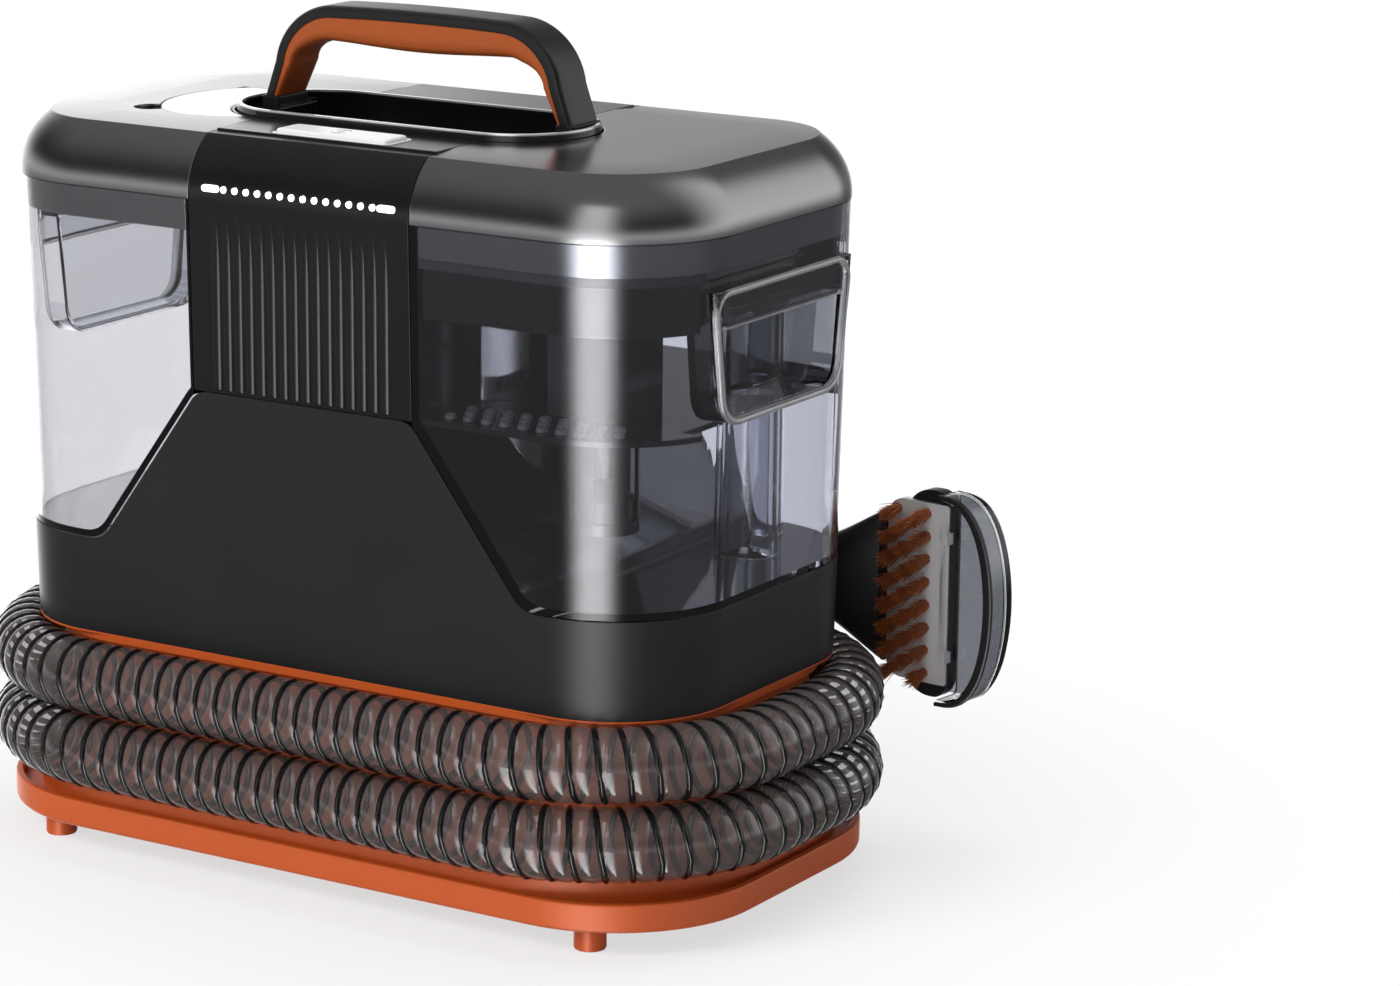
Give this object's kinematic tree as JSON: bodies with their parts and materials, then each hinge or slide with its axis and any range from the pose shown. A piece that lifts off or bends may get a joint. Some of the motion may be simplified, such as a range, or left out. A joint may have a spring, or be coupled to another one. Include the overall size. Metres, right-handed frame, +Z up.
{
  "type": "spot extractor",
  "caption": "Portable carpet and upholstery spot extractor: clear tanks beside a ribbed column, carry handle, suction hose wound round the waist, brush tool at the back.",
  "frame": {"origin": "centre of the four feet, on the surface that the machine stands on", "axes": "+X along the long side towards the recovery tank and the brush tool, -Y out of the ribbed front, +Z up"},
  "size_m": [0.4388, 0.2599, 0.3719],
  "materials": {
    "orange_tray": "satin orange moulding",
    "foot": "satin orange pegs",
    "black_gloss": "gloss black moulding",
    "deck_black": "satin black moulding",
    "lid_charcoal": "smoked charcoal lid",
    "handle_orange": "soft-touch orange",
    "silver": "metallised silver",
    "chrome_trim": "bright rim",
    "tank_clear": "clear moulded tank",
    "tank_smoke": "smoky moulded tank",
    "tool_clear": "clear tool hood",
    "inner_black": "black inner moulding",
    "inner_grey": "grey inner moulding",
    "float_white": "white float",
    "board_green": "circuit board",
    "led_clear": "clear light bar",
    "steel": "small steel parts",
    "motor_steel": "motor can",
    "fan_alu": "turned fan and shaft",
    "tube_clear": "soft tube",
    "seal_rubber": "soft seal",
    "hose_smoke": "smoky ribbed hose",
    "tool_black": "satin black tool mouldings",
    "tool_white": "white brush plate",
    "bristle_brown": "orange-brown tufts"
  },
  "bodies": {
    "machine": {"base_tray": "orange_tray", "feet": "foot", "waist_core": "orange_tray", "chassis": "inner_black", "lower_housing": "black_gloss", "front_panel": "black_gloss", "rear_cover": "black_gloss", "top_deck": "deck_black", "led_strip": "led_clear", "led_board": "board_green", "button_surround": "silver", "power_switch": "inner_black", "carry_pod": "black_gloss", "pod_trim": "chrome_trim", "handle_shell": "black_gloss", "handle_grip": "handle_orange", "handle_screws": "steel", "valve_dock": "inner_black", "intake_line": "inner_black", "motor": "motor_steel", "fan_housing": "inner_black", "pump": "inner_black", "control_board": "board_green", "vacuum_duct": "inner_black", "water_line": "tube_clear", "cord_inlet": "deck_black", "vent_grille": "deck_black", "hose_elbow": "tool_black", "hose": "hose_smoke", "hose_cuff": "tool_black", "hand_grip": "tool_black", "trigger_pin": "steel", "grip_cradles": "deck_black"},
    "clean_tank": {"clean_tank": "tank_clear", "clean_cap": "lid_charcoal", "flap_pin": "steel", "outlet_body": "inner_black", "outlet_spring": "steel"},
    "fill_flap": {"fill_flap": "silver"},
    "outlet_valve": {"outlet_valve": "float_white"},
    "recovery_tank": {"dirty_tank": "tank_smoke", "dirty_cap": "lid_charcoal", "lid_seal": "seal_rubber", "separator_head": "inner_black", "air_duct": "inner_grey", "splash_plate": "inner_black", "intake_pipe": "inner_grey", "suction_pipe": "inner_grey", "float_cage": "inner_grey"},
    "float": {"float": "float_white"},
    "power_button": {"power_button": "silver"},
    "rotor": {"rotor": "fan_alu"},
    "brush_tool": {"tool_body": "tool_black", "brush_plate": "tool_white", "bristles": "bristle_brown", "visor": "tool_clear", "visor_gasket": "seal_rubber", "visor_clips": "tool_white"},
    "tool_lock": {"tool_lock": "silver"},
    "spray_trigger": {"spray_trigger": "handle_orange"}
  },
  "joints": [
    {"name": "clean_tank_lift", "type": "slide", "parent": "machine", "child": "clean_tank", "axis": [0, 0, 1], "range_m": [0, 0.24]},
    {"name": "recovery_tank_lift", "type": "slide", "parent": "machine", "child": "recovery_tank", "axis": [0, 0, 1], "range_m": [0, 0.24]},
    {"name": "fill_flap_hinge", "type": "hinge", "parent": "clean_tank", "child": "fill_flap", "pos_m": [-0.09, 0.021, 0.3238], "axis": [-1, 0, 0], "range_deg": [0, 75]},
    {"name": "outlet_valve_lift", "type": "slide", "parent": "clean_tank", "child": "outlet_valve", "axis": [0, 0, 1], "range_m": [0, 0.0025], "stiffness_N_per_m": 60, "springref_m": -0.003, "deforming": ["outlet_spring"]},
    {"name": "float_rise", "type": "slide", "parent": "recovery_tank", "child": "float", "axis": [0, 0, 1], "range_m": [0, 0.03]},
    {"name": "power_button_press", "type": "slide", "parent": "machine", "child": "power_button", "axis": [0, 0, -1], "range_m": [0, 0.0016], "stiffness_N_per_m": 600, "springref_m": -0.001},
    {"name": "rotor_spin", "type": "hinge", "parent": "machine", "child": "rotor", "pos_m": [0, 0, 0.06], "axis": [0, 0, 1], "continuous": true},
    {"name": "brush_tool_pull", "type": "slide", "parent": "machine", "child": "brush_tool", "axis": [1, 0, 0], "range_m": [0, 0.15]},
    {"name": "tool_lock_press", "type": "slide", "parent": "brush_tool", "child": "tool_lock", "axis": [0, -1, 0], "range_m": [0, 0.002], "stiffness_N_per_m": 400, "springref_m": -0.001},
    {"name": "spray_trigger_squeeze", "type": "hinge", "parent": "machine", "child": "spray_trigger", "pos_m": [0.006, 0.1323, 0.1158], "axis": [0, 0, -1], "range_deg": [0, 9], "stiffness_Nm_per_rad": 0.5, "springref_deg": -5.73}
  ]
}
